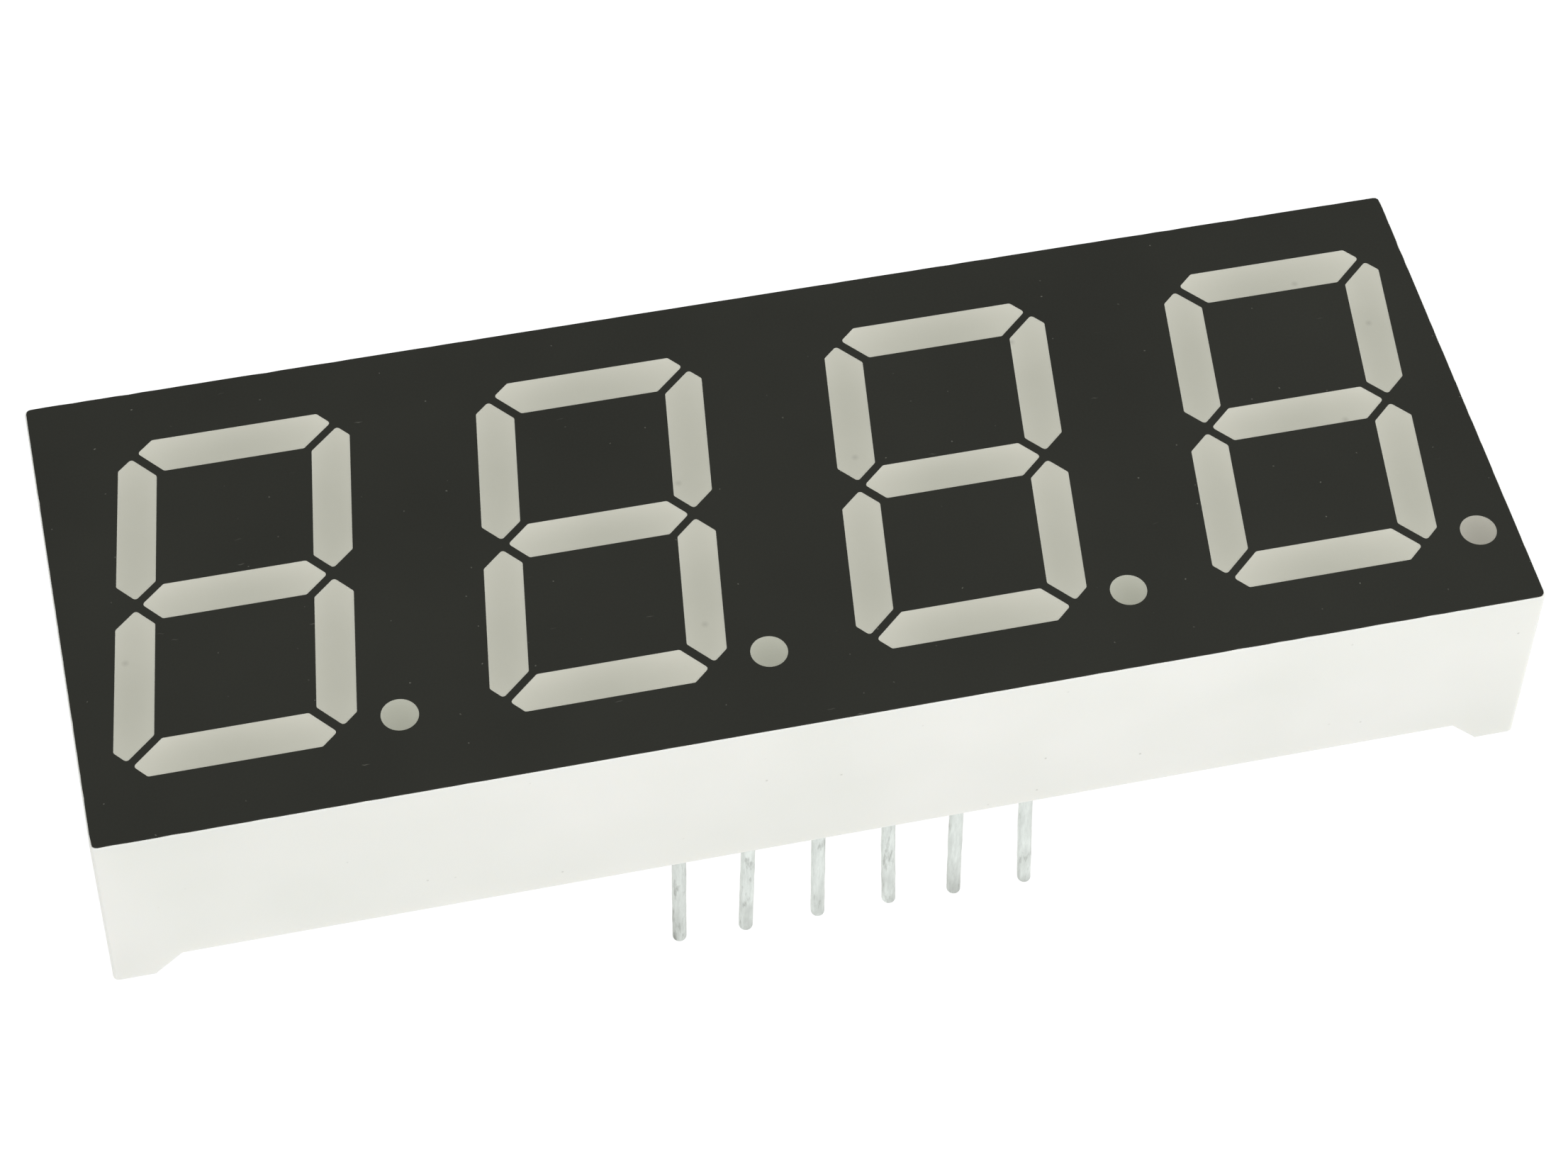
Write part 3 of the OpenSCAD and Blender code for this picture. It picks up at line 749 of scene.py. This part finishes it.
def sunk_resin(node):
    """A copy of the resin in one well, with its face drawn in."""
    piece = merged_copy(node, node.replace("segment", "bar") + "_resin")
    bpy.ops.object.mode_set(mode="EDIT")
    pick(piece, "faces", on_top)
    bpy.ops.mesh.inset(thickness=SLOPE, depth=-SINK)
    bpy.ops.mesh.inset(thickness=MARGIN, depth=0)
    bpy.ops.object.mode_set(mode="OBJECT")
    bpy.ops.object.shade_smooth_by_angle(angle=SHARP)
    return piece


print("resin faces sink by", SINK / MM, "mm over", SLOPE / MM, "mm")

# %% Lay the map and fill the wells
SLANT = math.radians(8)
DIGITS = 4
LEVEL_BARS = "adg"


def lay_map(piece, slant):
    """Maps a well from side to side and from end to end, after taking out the slant of its bar."""
    rim = [vert.co for vert in piece.data.vertices if vert.co.z > face_z - WELD]
    centre = sum(rim, Vector()) / len(rim)
    upright = [vert.co - centre for vert in piece.data.vertices]
    for away in upright:
        away.x -= away.y * math.tan(slant)
    half_x = max(abs(away.x) for away in upright)
    half_y = max(abs(away.y) for away in upright)
    well_map = piece.data.uv_layers.new(name=WELL_MAP)
    for loop in piece.data.loops:
        away = upright[loop.vertex_index]
        well_map.data[loop.index].uv = (away.x / half_x, away.y / half_y)


def fill_well(node, resin, slant):
    """Makes the resin of one well."""
    piece = sunk_resin(node)
    lay_map(piece, slant)
    dress(piece, resin, "segment_resin", node)


for digit in range(1, DIGITS + 1):
    for letter in "abcdefg":
        resin = level_resin if letter in LEVEL_BARS else upright_resin
        fill_well(f"digit_{digit}_segment_{letter}", resin, SLANT)
    resin = last_point_resin if digit == DIGITS else point_resin
    fill_well(f"digit_{digit}_point", resin, 0)
    print("filled the wells of digit", digit)

# %% [markdown]
# ## Pins
# Each pin is a length of tinned wire, round below the potting and squared above it. A cylinder would be
# too perfect: dipped wire swells and thins a little, and a pin is rarely quite straight. One wire is
# drawn down from a thin disc, ring by ring, and its end is rounded by shrinking the last rings. Copies of
# it get their square shank, a lean and a wavy skin of their own.

# %% Draw one wire
WIRE_SIDES = 32
RING_STEP = 0.4 * MM
TIP_HEIGHT = 0.16 * MM
TIP_RINGS = 5
# The tip stops this share of a ring short of closing, which leaves a small flat end
TIP_FLAT = 0.35
# The round wire turns into the square shank on a ledge of this height
LEDGE = 2 * WELD
wire_low, wire_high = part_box("pin_01")
wire_x = (wire_low.x + wire_high.x) / 2
wire_y = (wire_low.y + wire_high.y) / 2
wire_r = (wire_high.x - wire_low.x) / 2
shoulder_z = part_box("back_potting")[0].z
straight = shoulder_z - (wire_low.z + TIP_HEIGHT)
rings = round(straight / RING_STEP)
ring_height = straight / rings


def draw_down(step, scale=1.0):
    """Extrudes the selected end downwards and sizes it round the wire's axis."""
    bpy.ops.mesh.extrude_region_move(TRANSFORM_OT_translate={"value": (0, 0, -step)})
    bpy.ops.transform.resize(value=(scale, scale, 1), center_override=(wire_x, wire_y, 0))


bpy.ops.object.select_all(action="DESELECT")
bpy.ops.mesh.primitive_cylinder_add(
    vertices=WIRE_SIDES, radius=wire_r, depth=ring_height,
    location=(wire_x, wire_y, shoulder_z - ring_height / 2),
)
wire = bpy.context.object
wire.name = "drawn_wire"
bpy.ops.object.transform_apply(location=True, rotation=True, scale=True)
bpy.ops.object.mode_set(mode="EDIT")
pick(wire, "faces", lambda face: face.normal.z < -FACING)
for ring in range(1, rings):
    draw_down(ring_height)
tip = [math.radians(90 * k / (TIP_RINGS + TIP_FLAT)) for k in range(TIP_RINGS + 1)]
for before, after in zip(tip, tip[1:]):
    draw_down(TIP_HEIGHT * (math.sin(after) - math.sin(before)), math.cos(after) / math.cos(before))
pick(wire, "faces", lambda face: face.normal.z > FACING)
for rise in (LEDGE, wire_high.z - shoulder_z - LEDGE):
    bpy.ops.mesh.extrude_region_move(TRANSFORM_OT_translate={"value": (0, 0, rise)})
bpy.ops.object.mode_set(mode="OBJECT")
wire_end = min(vert.co.z for vert in wire.data.vertices)
print("wire of", rings, "rings, down to", round(wire_end / MM, 3), "mm")

# %% Square the shank, then lean and roughen each pin
PINS = 12
SHANK_HALF = 0.22 * MM
# How far the tips of the front pins lean to the right and to the back in the photograph, in mm
LEAN = {3: (0.15, 0.0), 4: (0.30, 0.0), 5: (0.20, -0.10), 6: (0.35, -0.15)}
# The other tips stray by this many mm, in a direction that turns by so many radians from pin to pin
STRAY = 0.04
STRAY_TURN_X = 2.1
STRAY_TURN_Y = 1.7
# A pin bends more and more towards its tip
BEND = 1.4
TIN_COAT = 0.008 * MM
SWELL = 0.018 * MM
SWELL_LENGTH = 0.7 * MM
# The tin's swelling grows from nothing over this share of the pin, next to the potting
SWELL_START = 1 / 8
WIRE_ROUND = math.radians(50)


def squared(away):
    """Moves a point of the round shank straight in or out, to the side of a square."""
    return away * SHANK_HALF / max(abs(away.x), abs(away.y))


def pin_piece(number):
    """A copy of the wire at one pin's place: square above the shoulder, wavy and leaning below it."""
    node = f"pin_{number:02d}"
    near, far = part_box(node)
    shift = Vector(((near.x + far.x) / 2 - wire_x, (near.y + far.y) / 2 - wire_y, 0))
    stray = (STRAY * math.sin(number * STRAY_TURN_X), STRAY * math.cos(number * STRAY_TURN_Y))
    lean = Vector((*LEAN.get(number, stray), 0)) * MM
    piece = bpy.data.objects.new(f"tinned_{node}", wire.data.copy())
    bpy.context.collection.objects.link(piece)
    for vert in piece.data.vertices:
        away = Vector((vert.co.x - wire_x, vert.co.y - wire_y, 0))
        if vert.co.z > shoulder_z + WELD:
            vert.co += squared(away) - away
        down = max(0.0, shoulder_z - vert.co.z) / (shoulder_z - wire_low.z)
        swell = TIN_COAT + SWELL * noise.noise((vert.co + shift) / SWELL_LENGTH)
        swell *= min(1.0, down / SWELL_START) * away.length / wire_r
        vert.co += shift + lean * down ** BEND + away.normalized() * swell
    only(piece)
    bpy.ops.object.shade_smooth_by_angle(angle=WIRE_ROUND)
    dress(piece, wire_tin, "tinned_wire", node)


for number in range(1, PINS + 1):
    pin_piece(number)
bpy.data.objects.remove(wire)
print("placed", PINS, "pins")

# %% [markdown]
# ## Potting
# The back is filled to just inside the walls. The solid keeps its form and takes the resin's finish. What
# it lacks is the meniscus: liquid resin climbs a wall and sets as a thin hollow fillet. A plane as wide as
# the cavity, inset ring by ring with a little less rise each time, draws that hollow; then it is closed
# at the back.

# %% Add the meniscus along the walls
# For each ring of the fillet, from the wall inwards: its width and its rise in mm
FILLET = ((0.05, 0.12), (0.07, 0.08), (0.12, 0.05), (0.22, 0.03))
# The flat of the potting lies this far above the ends of the resin that creeps down the pins
POTTING_LEVEL = 0.4 * MM
# The fillet's back lies this far inside the solid
TUCKED = 0.03 * MM
FILLET_ROUND = math.radians(40)
pot_low, pot_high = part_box("back_potting")
pot_level = pot_low.z + POTTING_LEVEL
climb = sum(rise for run, rise in FILLET) * MM

bpy.ops.object.select_all(action="DESELECT")
bpy.ops.mesh.primitive_plane_add(size=1, location=((pot_low + pot_high) / 2)[:2] + (pot_level - climb,))
fillet = bpy.context.object
fillet.name = "potting_meniscus"
fillet.scale = (pot_high.x - pot_low.x, pot_high.y - pot_low.y, 1)
bpy.ops.object.transform_apply(location=True, rotation=True, scale=True)
bpy.ops.object.mode_set(mode="EDIT")
bpy.ops.mesh.select_mode(type="FACE")
bpy.ops.mesh.select_all(action="SELECT")
for run, rise in FILLET:
    bpy.ops.mesh.inset(thickness=run * MM, depth=rise * MM)
bpy.ops.mesh.delete(type="FACE")
bpy.ops.mesh.select_all(action="SELECT")
# The back is a copy of the hollow, moved up and pressed flat
bpy.ops.mesh.extrude_region_move(TRANSFORM_OT_translate={"value": (0, 0, TUCKED)})
bpy.ops.transform.resize(value=(1, 1, 0), center_override=(0, 0, pot_level + TUCKED))
bpy.ops.mesh.select_all(action="SELECT")
bpy.ops.mesh.normals_make_consistent(inside=False)
bpy.ops.object.mode_set(mode="OBJECT")
bpy.ops.object.shade_smooth_by_angle(angle=FILLET_ROUND)
dress(fillet, potting_resin, "potting_resin")
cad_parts["back_potting"].material_slots[0].material = potting_resin
print("meniscus climbs", round(climb / MM, 2), "mm")
